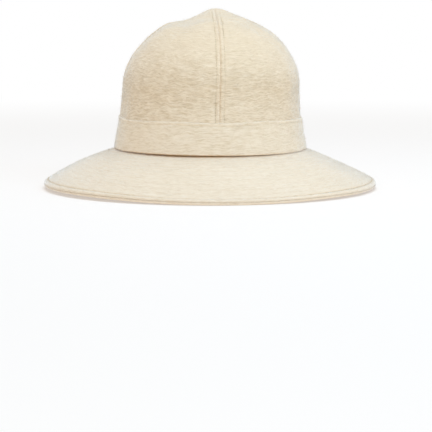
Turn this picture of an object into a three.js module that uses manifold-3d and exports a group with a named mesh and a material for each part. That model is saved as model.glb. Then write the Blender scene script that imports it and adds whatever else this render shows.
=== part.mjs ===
// A soft felt hat: four sewn crown panels, a band of the same felt, a brim of two stitched layers
// and a ribbon sweatband. Millimetres, +Z up. The front of the hat faces -Y, +X is on the right of
// someone looking at that front, and the brim rests on the plane z = 0, under the middle of the hat.

import * as THREE from 'three';
import { mergeVertices } from 'three/addons/utils/BufferGeometryUtils.js';
import Module from 'manifold-3d';

const wasm = await Module();
wasm.setup();

// Driving dimensions

const FELT = 2.0; // thickness of one layer of felt
const RIBBON = 1.0; // thickness of the sweatband
const GAP = 0.3; // air between two layers that are sewn together
const WALL_GAP = 0.4; // air between the crown's curved wall and a strip that follows it
const SEAM_GAP = 0.36; // air between two crown panels along their seam
const SEAM_HEIGHT = 37.5; // top of the brim where the crown is sewn to it

const CROWN = {
  baseHalfWidth: 86.5, // outside of the felt at the brim seam
  wallHalfWidth: 81.5, // outside of the felt at the shoulder
  flareCurve: 1.4, // 1 spreads the wall evenly down to the seam, more spreads it mostly at the foot
  shoulderHeight: 58, // the dome starts here
  height: 124, // brim seam to the top of the dome
  domeRoundness: 1.85, // 2 is a round dome, less is more like a tent
  lengthRatio: 1.163, // front-to-back size over side-to-side size, the oval of a head
  ridge: 0.014, // how far the seams stand out of the dome, as a share of its radius
  peakHeight: 3.5, // the four panels end in a low point
  peakRadius: 15,
  lean: 4, // the soft top leans over this far to +X
};

// Places where the soft dome has sunk in or pushed out, measured from the middle of the hat
const DENTS = [
  { place: 'beside the peak', x: -25, y: -8, halfWidth: 14, halfLength: 36, depth: 4 },
  { place: 'left shoulder', x: -46, y: -12, halfWidth: 15, halfLength: 26, depth: -2.2 },
  { place: 'right slope', x: 34, y: -20, halfWidth: 20, halfLength: 20, depth: 1 },
  { place: 'back slope', x: 8, y: 52, halfWidth: 24, halfLength: 24, depth: 1.8 },
];

// The brim from its seam outwards: level width and fall at the front, the sides and the back
const BRIM_SECTIONS = [
  { place: 'front', angle: 0, width: 63, fall: 36.5 },
  { place: 'side', angle: 90, width: 69.5, fall: 30.8 },
  { place: 'back', angle: 180, width: 63, fall: 36.5 },
];
const BRIM_BELL = 0.35; // the brim falls faster towards its rim, as a bell does
const LIP = 5; // the outermost strip, which lies flat where the hat rests on it

// Strips round the crown's wall: lower edge over the brim seam, height and rows of facets up the strip
const BAND = { foot: -0.8, height: 29, steps: 4 };
const SWEATBAND = { foot: -3.6, height: 25, steps: 3 };

const SIDES = 72; // facets round the hat
const WALL_STEPS = 5; // rows of facets up the crown's wall
const DOME_STEPS = 10; // rows of facets over the dome
const BRIM_STEPS = 5; // rings of facets across the brim, besides the lip

const FELT_FINISH = { color: 0xe3d5ba, roughness: 0.95, metalness: 0 };
const RIBBON_FINISH = { color: 0x1d1c1e, roughness: 0.8, metalness: 0 };

// Solids

// Closed ring round the hat. sectionAt gives the ring's closed outline at an angle, as points that run
// anticlockwise when seen with the outside of the hat on the right and +Z up.
function ringGeometry(sectionAt) {
  const sections = [];
  for (let i = 0; i < SIDES; i++) {
    sections.push(sectionAt((2 * Math.PI * i) / SIDES));
  }
  const count = sections[0].length;
  const positions = sections.flat().flatMap((p) => [p.x, p.y, p.z]);
  const triangles = [];
  for (let i = 0; i < SIDES; i++) {
    for (let j = 0; j < count; j++) {
      const here = i * count;
      const next = ((i + 1) % SIDES) * count;
      const above = (j + 1) % count;
      triangles.push(here + j, next + j, here + above);
      triangles.push(here + above, next + j, next + above);
    }
  }
  const geometry = new THREE.BufferGeometry();
  geometry.setAttribute('position', new THREE.Float32BufferAttribute(positions, 3));
  geometry.setIndex(triangles);
  return withoutEmptyTriangles(mergeVertices(geometry));
}

// The rings of a dome shrink to a point at its top, which leaves triangles with a repeated corner.
function withoutEmptyTriangles(geometry) {
  const index = geometry.index.array;
  const kept = [];
  for (let i = 0; i < index.length; i += 3) {
    const [a, b, c] = index.slice(i, i + 3);
    if (a !== b && b !== c && c !== a) {
      kept.push(a, b, c);
    }
  }
  geometry.setIndex(kept);
  return geometry;
}

function toSolid(geometry) {
  const bare = geometry.clone();
  bare.deleteAttribute('normal');
  bare.deleteAttribute('uv');
  const merged = mergeVertices(bare);
  return new wasm.Manifold(
    new wasm.Mesh({
      numProp: 3,
      vertProperties: new Float32Array(merged.attributes.position.array),
      triVerts: new Uint32Array(merged.index.array),
    }),
  );
}

function toGeometry(solid) {
  const mesh = solid.getMesh();
  const geometry = new THREE.BufferGeometry();
  geometry.setAttribute('position', new THREE.Float32BufferAttribute(mesh.vertProperties, 3));
  geometry.setIndex(Array.from(mesh.triVerts));
  return geometry;
}

// Crown

// Angle 0 is the front of the hat, and 90 degrees its right side.
function onOval(angle, halfWidth, z) {
  const halfLength = halfWidth * CROWN.lengthRatio;
  return new THREE.Vector3(halfWidth * Math.sin(angle), -halfLength * Math.cos(angle), z);
}

function wallHalfWidth(height) {
  const below = Math.max(0, 1 - Math.max(0, height) / CROWN.shoulderHeight);
  return CROWN.wallHalfWidth + (CROWN.baseHalfWidth - CROWN.wallHalfWidth) * below ** CROWN.flareCurve;
}

// How far the crown leans to +X at a height over its foot, which itself stays in place
function leanAt(height) {
  return CROWN.lean * (height / CROWN.height) ** 2;
}

// Outer face of the dome. Lift runs from 0 at the shoulder to a quarter turn at the top.
function domePoint(angle, lift) {
  const rise = CROWN.height - CROWN.shoulderHeight;
  const power = 2 / CROWN.domeRoundness;
  const seams = 1 + CROWN.ridge * Math.sin(lift) * Math.cos(4 * angle);
  const halfWidth = CROWN.wallHalfWidth * Math.cos(lift) ** power * seams;
  const point = onOval(angle, halfWidth, CROWN.shoulderHeight + rise * Math.sin(lift) ** power);
  const fromTop = Math.hypot(point.x, point.y) / CROWN.peakRadius;
  point.z += CROWN.peakHeight * Math.exp(-fromTop * fromTop);
  for (const dent of DENTS) {
    const away = Math.hypot((point.x - dent.x) / dent.halfWidth, (point.y - dent.y) / dent.halfLength);
    point.z -= dent.depth * Math.exp(-away * away) * Math.sin(lift);
  }
  return point;
}

// Outer face of the whole crown by a step number: first up the wall, then over the dome.
function crownPoint(angle, step) {
  const foot = SEAM_HEIGHT + GAP;
  if (step <= WALL_STEPS) {
    const height = (CROWN.shoulderHeight * step) / WALL_STEPS;
    return onOval(angle, wallHalfWidth(height), foot + height);
  }
  const lift = ((step - WALL_STEPS) / DOME_STEPS) * (Math.PI / 2);
  const point = domePoint(angle, Math.min(lift, Math.PI / 2));
  point.z += foot;
  return point;
}

// Inner face: the outer point moved in along the surface's own direction by one layer of felt
function crownInnerPoint(angle, step) {
  const outer = crownPoint(angle, step);
  const small = 1e-3;
  const last = WALL_STEPS + DOME_STEPS;
  if (step >= last) {
    return outer.clone().setZ(outer.z - FELT);
  }
  const round = crownPoint(angle + small, step).sub(crownPoint(angle - small, step));
  const up = crownPoint(angle, step + small).sub(crownPoint(angle, Math.max(0, step - small)));
  const inward = up.cross(round).normalize();
  const inner = outer.clone().addScaledVector(inward, FELT);
  if (step === 0) {
    inner.z = outer.z;
  }
  return inner;
}

function crownSection(angle) {
  const outer = [];
  const inner = [];
  for (let step = 0; step <= WALL_STEPS + DOME_STEPS; step++) {
    outer.push(crownPoint(angle, step));
    inner.unshift(crownInnerPoint(angle, step));
  }
  return [...outer, ...inner];
}

// One quarter of the crown, cut at the seam planes x = 0 and y = 0 and then leant over
function crownPanelGeometry(crown, xSide, ySide) {
  const reach = 2 * CROWN.height;
  const quarter = new THREE.BoxGeometry(reach, reach, 2 * reach);
  const shift = (reach + SEAM_GAP) / 2;
  quarter.translate(xSide * shift, ySide * shift, 0);
  const panel = toGeometry(crown.intersect(toSolid(quarter)));
  const corners = panel.attributes.position;
  for (let i = 0; i < corners.count; i++) {
    corners.setX(i, corners.getX(i) + leanAt(corners.getZ(i) - SEAM_HEIGHT - GAP));
  }
  return panel;
}

// Band and sweatband

// A strip that follows the crown's wall. StandOff is the distance from the crown's outer face to the
// strip's inner face, and is negative inside the hat.
function wallStrip(angle, { foot, height, steps }, standOff, thickness) {
  const inner = [];
  const outer = [];
  for (let i = 0; i <= steps; i++) {
    const level = foot + (height * i) / steps;
    const z = SEAM_HEIGHT + GAP + level;
    const halfWidth = wallHalfWidth(level);
    const oval = (out) => {
      const x = (halfWidth + out) * Math.sin(angle) + leanAt(level);
      const y = -(halfWidth * CROWN.lengthRatio + out) * Math.cos(angle);
      return new THREE.Vector3(x, y, z);
    };
    inner.unshift(oval(standOff));
    outer.push(oval(standOff + thickness));
  }
  return [...outer, ...inner];
}

function bandSection(angle) {
  return wallStrip(angle, BAND, WALL_GAP, FELT);
}

function sweatbandSection(angle) {
  return wallStrip(angle, SWEATBAND, -(FELT + WALL_GAP + RIBBON), RIBBON);
}

// Brim

// Width and fall of the brim at an angle, blended between the rows of its table
function brimSection(angle) {
  const turn = Math.abs(THREE.MathUtils.euclideanModulo(THREE.MathUtils.radToDeg(angle) + 180, 360) - 180);
  const after = Math.max(1, BRIM_SECTIONS.findIndex((row) => row.angle >= turn));
  const [a, b] = [BRIM_SECTIONS[after - 1], BRIM_SECTIONS[after]];
  const share = (1 - Math.cos((Math.PI * (turn - a.angle)) / (b.angle - a.angle))) / 2;
  return {
    width: THREE.MathUtils.lerp(a.width, b.width, share),
    fall: THREE.MathUtils.lerp(a.fall, b.fall, share),
  };
}

// A point of the brim: share runs from 0 at the seam to 1 at the rim, and depth is the thickness of
// felt above the point. The felt is lifted flat where it would otherwise go below z = 0.
function brimPoint(angle, share, depth) {
  const { width, fall } = brimSection(angle);
  const steep = Math.hypot(1, fall / width); // upright thickness of sloping felt over its real one
  const height = SEAM_HEIGHT - fall * (share + BRIM_BELL * share * (share - 1));
  const lift = Math.max(0, (2 * FELT + GAP) * steep - height);
  const halfWidth = CROWN.baseHalfWidth - FELT;
  const halfLength = CROWN.baseHalfWidth * CROWN.lengthRatio - FELT;
  const outward = new THREE.Vector2(Math.sin(angle) / halfWidth, -Math.cos(angle) / halfLength).normalize();
  return new THREE.Vector3(
    halfWidth * Math.sin(angle) + outward.x * width * share,
    -halfLength * Math.cos(angle) + outward.y * width * share,
    height + lift - depth * steep,
  );
}

function brimLayerSection(angle, topDepth) {
  const lipShare = 1 - LIP / brimSection(angle).width;
  const shares = [];
  for (let i = 0; i <= BRIM_STEPS; i++) {
    shares.push((lipShare * i) / BRIM_STEPS);
  }
  shares.push(1);
  const top = shares.map((share) => brimPoint(angle, share, topDepth)).reverse();
  const bottom = shares.map((share) => brimPoint(angle, share, topDepth + FELT));
  return [...bottom, ...top];
}

// Assembly

const hat = new THREE.Group();

function addPiece(name, geometry, finish) {
  const mesh = new THREE.Mesh(geometry, new THREE.MeshStandardMaterial(finish));
  mesh.name = name;
  hat.add(mesh);
}

const crown = toSolid(ringGeometry(crownSection));
const panels = [
  { name: 'crown_panel_front_left', xSide: -1, ySide: -1 },
  { name: 'crown_panel_front_right', xSide: 1, ySide: -1 },
  { name: 'crown_panel_back_left', xSide: -1, ySide: 1 },
  { name: 'crown_panel_back_right', xSide: 1, ySide: 1 },
];
for (const { name, xSide, ySide } of panels) {
  addPiece(name, crownPanelGeometry(crown, xSide, ySide), FELT_FINISH);
}

addPiece('band', ringGeometry(bandSection), FELT_FINISH);
addPiece('brim_upper', ringGeometry((angle) => brimLayerSection(angle, 0)), FELT_FINISH);
addPiece('brim_under', ringGeometry((angle) => brimLayerSection(angle, FELT + GAP)), FELT_FINISH);
addPiece('sweatband', ringGeometry(sweatbandSection), RIBBON_FINISH);

export default hat;
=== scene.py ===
"""Looks of a soft felt hat that rests on its brim.

Sizes are in metres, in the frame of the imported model: +Z is up, the front of the hat faces -Y, and +X is on
the right of someone who looks at that front. Angle 0 is the front of the hat, a quarter turn its right side.
"""

import logging
import math
from dataclasses import dataclass, field
from enum import Enum

import bpy
import numpy as np
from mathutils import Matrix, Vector
from numpy.typing import NDArray

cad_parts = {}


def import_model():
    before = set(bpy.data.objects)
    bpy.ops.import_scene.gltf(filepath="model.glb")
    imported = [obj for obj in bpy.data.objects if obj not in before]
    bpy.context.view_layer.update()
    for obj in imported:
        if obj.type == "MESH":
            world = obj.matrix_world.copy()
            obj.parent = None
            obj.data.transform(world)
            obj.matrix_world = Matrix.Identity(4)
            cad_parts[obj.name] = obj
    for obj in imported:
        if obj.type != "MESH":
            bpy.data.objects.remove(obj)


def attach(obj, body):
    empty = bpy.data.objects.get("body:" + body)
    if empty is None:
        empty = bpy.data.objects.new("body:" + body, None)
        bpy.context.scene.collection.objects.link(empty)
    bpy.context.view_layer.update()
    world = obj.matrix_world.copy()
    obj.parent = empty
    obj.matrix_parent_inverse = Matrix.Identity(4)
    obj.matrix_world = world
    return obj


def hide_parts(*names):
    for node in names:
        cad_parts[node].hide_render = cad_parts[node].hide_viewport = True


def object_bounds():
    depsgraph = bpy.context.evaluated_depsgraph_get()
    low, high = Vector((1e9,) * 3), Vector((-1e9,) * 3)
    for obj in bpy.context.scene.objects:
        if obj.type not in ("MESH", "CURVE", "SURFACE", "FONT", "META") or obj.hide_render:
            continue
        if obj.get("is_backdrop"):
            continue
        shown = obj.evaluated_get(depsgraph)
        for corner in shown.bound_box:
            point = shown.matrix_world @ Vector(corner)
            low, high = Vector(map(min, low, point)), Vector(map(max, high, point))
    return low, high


Array = NDArray[np.float64]
Indices = NDArray[np.int64]
Colour = tuple[float, float, float, float]
Material = bpy.types.Material
Piece = bpy.types.Object
Socket = bpy.types.NodeSocket

MM = 0.001
FULL_TURN = 2 * math.pi
QUARTER_TURN = math.pi / 2
RING_STEPS = 721
TINY = 1e-12
WHITE = (1.0, 1.0, 1.0, 1.0)
BODY = "root"
UV_NAME = "nap"
FLAT_NAME = "OFBake"
FOLD_SHADE_NAME = "fold_shade"

log = logging.getLogger("felt_hat")


def linear(*screen: int) -> Colour:
    """Turns red, green and blue on a screen, 0 to 255, into the linear colour that shaders take."""
    parts = [value / 255 for value in screen]
    return (*(c / 12.92 if c <= 0.04045 else ((c + 0.055) / 1.055) ** 2.4 for c in parts), 1.0)


def bump_at(distance: Array, centre: float, width: float) -> Array:
    """A smooth bump of height 1 at a distance of centre, that falls to 0.37 at one width from it."""
    return np.exp(-(((distance - centre) / width) ** 2))


def plateau(distance: Array, width: float) -> Array:
    """Nearly 1 up to a width, and nearly 0 soon beyond it."""
    return np.exp(-((distance / width) ** 4))


def wave_sum(phases: Array, height: float) -> Array:
    """Adds up the sines of the phases on the last axis, to waves about as large as height."""
    return height * np.sin(phases).sum(axis=-1) * math.sqrt(2 / phases.shape[-1])


def unit(vectors: Array) -> Array:
    """The same vectors, each with a length of 1."""
    return vectors / np.maximum(np.linalg.norm(vectors, axis=-1, keepdims=True), TINY)


def even_turns(count: int) -> Array:
    """Angles at even steps once round."""
    return np.linspace(0, FULL_TURN, count, endpoint=False)


def arc_lengths(points: Array) -> Array:
    """Length along a line of points, from its first point.

    Args:
        points: points of one or more lines, shape (..., n, 3).

    Returns:
        Lengths, shape (..., n).
    """
    steps = np.linalg.norm(np.diff(points, axis=-2), axis=-1)
    start = np.zeros((*steps.shape[:-1], 1))
    return np.concatenate([start, np.cumsum(steps, axis=-1)], axis=-1)


def points_at(wanted: Array, along: Array, line: Array) -> Array:
    """Points of a line at the wanted lengths, where along is the length up to each point of the line."""
    return np.stack([np.interp(wanted, along, line[:, axis]) for axis in range(3)], axis=-1)


def aim(thing: Piece, target: Vector) -> None:
    """Turns a light or a camera towards a target."""
    thing.rotation_euler = (target - thing.location).to_track_quat("-Z", "Y").to_euler()


@dataclass(frozen=True)
class Unevenness:
    """Slow waves that keep a soft surface from being perfectly smooth."""

    height: float
    wavelength: float
    seed: int
    waves: int = 14
    spread: tuple[float, float] = (0.6, 1.8)

    def at(self, points: Array) -> Array:
        """How far the surface stands out at some points.

        Args:
            points: places on the surface, shape (..., 3).

        Returns:
            Distances, shape (...), about as large as height.
        """
        rng = np.random.default_rng(self.seed)
        directions = unit(rng.normal(size=(self.waves, 3)))
        numbers = FULL_TURN / (self.wavelength * rng.uniform(*self.spread, self.waves))
        phases = rng.uniform(0, FULL_TURN, self.waves)
        return wave_sum(points @ (directions * numbers[:, None]).T + phases, self.height)


@dataclass(frozen=True)
class NapTufts:
    """Small wavy tufts of brushed hair, which stand a little out of the felt."""

    height: float = 0.13 * MM
    length: float = 8 * MM
    width: float = 2.4 * MM
    sway: Unevenness = Unevenness(2.6 * MM, 22 * MM, seed=21)
    seed: int = 3
    waves: int = 40
    spread: tuple[float, float] = (0.5, 1.6)

    def at(self, along: Array, across: Array) -> Array:
        """How far the tufts stand out.

        Args:
            along: places along the lie of the hair.
            across: places across it, same shape as along.

        Returns:
            Distances out of the felt, same shape, about as large as height.
        """
        rng = np.random.default_rng(self.seed)
        along_numbers = FULL_TURN / self.length * rng.uniform(-1.0, 1.0, self.waves)
        across_numbers = FULL_TURN / self.width * rng.uniform(*self.spread, self.waves)
        phases = rng.uniform(0, FULL_TURN, self.waves)
        across = across + self.sway.at(np.stack([along, across, 0 * along], axis=-1))
        return wave_sum(along[..., None] * along_numbers + across[..., None] * across_numbers + phases,
                        self.height)


@dataclass(frozen=True)
class Dent:
    """A place where the dome has sunk in, or has pushed out if its depth is negative."""

    x: float
    y: float
    half_width: float
    half_length: float
    depth: float

    def at(self, x: Array, y: Array) -> Array:
        """How far the dome has sunk in at some places."""
        away = ((x - self.x) / self.half_width) ** 2 + ((y - self.y) / self.half_length) ** 2
        return self.depth * np.exp(-away)


@dataclass(frozen=True)
class RimLift:
    """A place on the rim that has sprung a little off the floor."""

    angle: float
    reach: float
    height: float

    def at(self, angle: Array) -> Array:
        """How far the rim is lifted at some angles."""
        away = (angle - math.radians(self.angle) + math.pi) % FULL_TURN - math.pi
        return self.height * bump_at(away, 0.0, math.radians(self.reach))


@dataclass(frozen=True)
class BrimWave:
    """A soft wave round the middle of the brim, as felt takes on with wear."""

    count: int
    turn: float
    height: float

    def at(self, angle: Array) -> Array:
        """How far the middle of the brim is raised at some angles."""
        return self.height * np.cos(self.count * (angle - math.radians(self.turn)))


@dataclass(frozen=True)
class HatForm:
    """The hat's shape as formulas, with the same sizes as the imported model."""

    felt: float = 2.0 * MM
    gap: float = 0.3 * MM
    seam_height: float = 37.5 * MM
    base_half_width: float = 86.5 * MM
    wall_half_width: float = 81.5 * MM
    flare_curve: float = 1.4
    shoulder_height: float = 58 * MM
    crown_height: float = 124 * MM
    dome_roundness: float = 1.85
    length_ratio: float = 1.163
    panels: int = 4
    ridge: float = 0.014
    peak_height: float = 3.5 * MM
    peak_radius: float = 15 * MM
    lean: float = 4 * MM
    dents: tuple[Dent, ...] = (
        Dent(-25 * MM, -8 * MM, 14 * MM, 36 * MM, 4.0 * MM),
        Dent(-46 * MM, -12 * MM, 15 * MM, 26 * MM, -2.2 * MM),
        Dent(34 * MM, -20 * MM, 20 * MM, 20 * MM, 1.0 * MM),
        Dent(8 * MM, 52 * MM, 24 * MM, 24 * MM, 1.8 * MM),
    )
    brim_front_width: float = 63 * MM
    brim_side_width: float = 69.5 * MM
    brim_front_fall: float = 36.5 * MM
    brim_side_fall: float = 30.8 * MM
    brim_bell: float = 0.35
    gap_turn: float = -26.0
    least_fold_shade: float = 0.1
    floor_bend: float = 1.2 * MM
    rim_lifts: tuple[RimLift, ...] = (
        RimLift(-44, 24, 1.9 * MM),
        RimLift(38, 18, 1.2 * MM),
        RimLift(131, 26, 1.5 * MM),
        RimLift(-128, 22, 1.1 * MM),
    )
    lift_curve: int = 3
    brim_waves: tuple[BrimWave, ...] = (
        BrimWave(2, -35, 0.7 * MM),
        BrimWave(3, 22, 0.9 * MM),
        BrimWave(5, -16, 0.6 * MM),
        BrimWave(8, 5, 0.25 * MM),
    )
    wave_curve: float = 1.5

    @property
    def crown_foot(self) -> float:
        """Height of the crown's lower edge over the floor."""
        return self.seam_height + self.gap

    @property
    def brim_thickness(self) -> float:
        """Thickness of the two layers of the brim with the air between them."""
        return 2 * self.felt + self.gap

    def band_gap(self, angle: Array) -> Array:
        """How open the fold under the band is, 1 where it is widest and 0 where it is closed."""
        return np.cos(angle - math.radians(self.gap_turn)) ** 2

    def band_fold_shade(self, angle: Array) -> Array:
        """How strongly painted shade darkens the fold under the band, from 0 to 1."""
        return self.least_fold_shade + (1 - self.least_fold_shade) * self.band_gap(angle)

    def half_width_at(self, level: Array) -> Array:
        """Half the outside width of the crown's wall at a level above its foot."""
        below = np.clip(1 - np.maximum(level, 0) / self.shoulder_height, 0, None)
        return self.wall_half_width + (self.base_half_width - self.wall_half_width) * below**self.flare_curve

    def lean_at(self, level: Array) -> Array:
        """How far the crown leans to its right at a level above its foot."""
        return self.lean * (level / self.crown_height) ** 2

    def crown(self, angle: Array, climb: Array) -> Array:
        """Points of the crown's outer face.

        Args:
            angle: angles round the hat.
            climb: 0 at the foot, 1 at the shoulder and 2 at the top, same shape as angle.

        Returns:
            Points, with one more axis than angle.
        """
        wall = np.clip(climb, 0, 1)
        lift = np.clip(climb - 1, 0, 1) * QUARTER_TURN
        power = 2 / self.dome_roundness
        rise = self.crown_height - self.shoulder_height
        seams = 1 + self.ridge * np.sin(lift) * np.cos(self.panels * angle)
        round_in = np.clip(np.cos(lift), 0, None) ** power
        half_width = self.half_width_at(self.shoulder_height * wall) * round_in * seams
        x = half_width * np.sin(angle)
        y = -half_width * self.length_ratio * np.cos(angle)
        level = self.shoulder_height * wall + rise * np.sin(lift) ** power
        level = level + self.peak_height * np.exp(-(x**2 + y**2) / self.peak_radius**2)
        for dent in self.dents:
            level = level - dent.at(x, y) * np.sin(lift)
        return np.stack([x + self.lean_at(level), y, self.crown_foot + level], axis=-1)

    def crown_normal(self, angle: Array, climb: Array) -> Array:
        """Outward directions of the crown's outer face.

        Args:
            angle: angles round the hat.
            climb: as for crown().

        Returns:
            Vectors of length 1, straight up where the panels meet at the top.
        """
        step, least_area = 1e-4, 1e-14
        round_the_hat = self.crown(angle + step, climb) - self.crown(angle - step, climb)
        upwards = self.crown(angle, np.minimum(climb + step, 2)) - self.crown(angle, climb - step)
        outward = np.cross(round_the_hat, upwards)
        flat = np.linalg.norm(outward, axis=-1, keepdims=True) < least_area
        return unit(np.where(flat, np.array([0.0, 0.0, 1.0]), outward))

    def wall(self, angle: Array, level: Array, out: Array) -> Array:
        """Points beside the crown's wall.

        Args:
            angle: angles round the hat.
            level: heights above the crown's foot.
            out: distances out from the crown's outer face, negative inside the hat.

        Returns:
            Points, with one more axis than angle.
        """
        half_width = self.half_width_at(level)
        x = (half_width + out) * np.sin(angle) + self.lean_at(level)
        y = -(half_width * self.length_ratio + out) * np.cos(angle)
        return np.stack([x, y, self.crown_foot + level + 0 * angle], axis=-1)

    def brim_width(self, angle: Array) -> Array:
        """Level width of the brim from its seam to its rim."""
        return self.brim_front_width + (self.brim_side_width - self.brim_front_width) * np.sin(angle) ** 2

    def brim_fall(self, angle: Array) -> Array:
        """How far the brim falls from its seam to its rim."""
        return self.brim_front_fall + (self.brim_side_fall - self.brim_front_fall) * np.sin(angle) ** 2

    def brim_slant(self, angle: Array) -> Array:
        """Width of the brim along its slope."""
        return np.hypot(self.brim_width(angle), self.brim_fall(angle))

    def brim(self, angle: Array, share: Array, depth: Array) -> Array:
        """Points of the brim, which is lifted flat where it would otherwise go below the floor.

        Args:
            angle: angles round the hat.
            share: 0 at the seam with the crown and 1 at the rim.
            depth: thickness of felt above the point.

        Returns:
            Points, with one more axis than angle.
        """
        width = self.brim_width(angle)
        fall = self.brim_fall(angle)
        steep = np.hypot(1, fall / width)
        across = np.clip(share, 0, 1)
        waves = sum(wave.at(angle) for wave in self.brim_waves)
        lifts = sum(spot.at(angle) for spot in self.rim_lifts)
        height = self.seam_height - fall * (share + self.brim_bell * share * (share - 1))
        height = height + np.sin(math.pi * across) ** self.wave_curve * waves
        below = self.brim_thickness * steep - height
        lift = self.floor_bend * np.logaddexp(0, below / self.floor_bend) + across**self.lift_curve * lifts
        half_width = self.base_half_width - self.felt
        half_length = self.base_half_width * self.length_ratio - self.felt
        outward = np.stack([np.sin(angle) / half_width, -np.cos(angle) / half_length], axis=-1)
        outward = unit(outward) * (width * share)[..., None]
        x = half_width * np.sin(angle) + outward[..., 0]
        y = -half_length * np.cos(angle) + outward[..., 1]
        return np.stack([x, y, height + lift - depth * steep], axis=-1)


@dataclass(frozen=True)
class Change:
    """A change from a first value, at its start, to a last one, at its end."""

    start: float
    end: float
    first: float
    last: float


@dataclass
class MeshParts:
    """Collects grids of points and joins them into one mesh, with a flat map that has no overlaps."""

    tiled: bool = False
    tile_margin: float = 0.05
    map_margin: float = 0.01
    strip_height: float = 0.02
    grids: list[tuple[Array, Indices, Array, Array, Array]] = field(default_factory=list)
    count: int = 0

    def add_grid(self, points: Array, uv: Array, closed: bool = False, ring: bool = False,
                 fold_shade: Array | None = None) -> "MeshParts":
        """Adds faces between the neighbours of a grid of points.

        Args:
            points: the grid, shape (rows, columns, 3). Faces look out where columns run to the right of
                rows.
            uv: place of each point on the felt, shape (rows, columns, 2).
            closed: whether the last column joins the first.
            ring: whether the last row joins the first.
            fold_shade: how strongly painted shade darkens each point, from 0 to 1, shape (rows, columns).

        Returns:
            These parts.
        """
        rows, columns = points.shape[:2]
        steps = (rows - 1 + ring, columns - 1 + closed)
        i, j = np.meshgrid(np.arange(steps[0]), np.arange(steps[1]), indexing="ij")
        corners = [(i, j), (i, j + 1), (i + 1, j + 1), (i + 1, j)]
        quads = np.stack([(r % rows) * columns + c % columns for r, c in corners], axis=-1).reshape(-1, 4)
        flat = np.stack([np.stack([c / steps[1], r / steps[0]], axis=-1) for r, c in corners], axis=2)
        fold_shade = np.zeros(rows * columns) if fold_shade is None else fold_shade.ravel()
        return self.add_faces(points.reshape(-1, 3), quads, uv.reshape(-1, 2), flat.reshape(-1, 2), fold_shade)

    def add_faces(self, points: Array, faces: Indices, uv: Array, flat: Array, fold_shade: Array) -> "MeshParts":
        """Adds faces that all have the same number of corners.

        Args:
            points: the corners' places, shape (n, 3).
            faces: which points each face joins, shape (m, corners).
            uv: place of each point on the felt, shape (n, 2).
            flat: place of each face's corners on a flat square, shape (m * corners, 2).
            fold_shade: how strongly painted shade darkens each point, shape (n).

        Returns:
            These parts.
        """
        self.grids.append((points, faces + self.count, uv, flat, fold_shade))
        self.count += len(points)
        return self

    def flat_map(self, flats: tuple[Array, ...]) -> Array:
        """Lays the grids flat: all as tiles, or the first one large and the others in strips below it.

        Args:
            flats: places of each grid's corners on a flat square of its own.

        Returns:
            Places of all the corners on one square, from 0 to 1.
        """
        if self.tiled:
            side = math.ceil(math.sqrt(len(flats)))
            inner = 1 - 2 * self.tile_margin
            return np.concatenate([(self.tile_margin + inner * flat + (k % side, k // side)) / side
                                   for k, flat in enumerate(flats)])
        width = 1 - 2 * self.map_margin
        foot = self.strip_height + 2 * self.map_margin
        share = 1 / max(1, len(flats) - 1)
        first = flats[0] * (width, 1 - foot - self.map_margin) + (self.map_margin, foot)
        strips = [flat * (width * share, self.strip_height) + (self.map_margin + k * share, self.map_margin)
                  for k, flat in enumerate(flats[1:])]
        return np.concatenate([first, *strips])

    def to_object(self, name: str) -> Piece:
        """Makes a smooth mesh object of all the grids.

        Args:
            name: name of the object and its mesh.

        Returns:
            The new object, linked to the scene.
        """
        grids, faces, uvs, flats, fold_shades = zip(*self.grids)
        points = np.concatenate(grids)
        corners = np.concatenate([part.ravel() for part in faces])
        sizes = np.concatenate([np.full(*part.shape) for part in faces])
        mesh = bpy.data.meshes.new(name)
        mesh.vertices.add(len(points))
        mesh.vertices.foreach_set("co", points.astype(np.float32).ravel())
        mesh.loops.add(corners.size)
        mesh.loops.foreach_set("vertex_index", corners.astype(np.int32))
        mesh.polygons.add(len(sizes))
        mesh.polygons.foreach_set("loop_start", (np.cumsum(sizes) - sizes).astype(np.int32))
        mesh.update(calc_edges=True)
        maps = {UV_NAME: np.concatenate(uvs)[corners], FLAT_NAME: self.flat_map(flats)}
        for map_name, places in maps.items():
            layer = mesh.uv_layers.new(name=map_name)
            layer.data.foreach_set("uv", places.astype(np.float32).ravel())
        fold_shade = mesh.attributes.new(FOLD_SHADE_NAME, "FLOAT", "POINT")
        fold_shade.data.foreach_set("value", np.concatenate(fold_shades).astype(np.float32))
        mesh.shade_smooth()
        piece = bpy.data.objects.new(name, mesh)
        bpy.context.scene.collection.objects.link(piece)
        return piece


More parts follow.
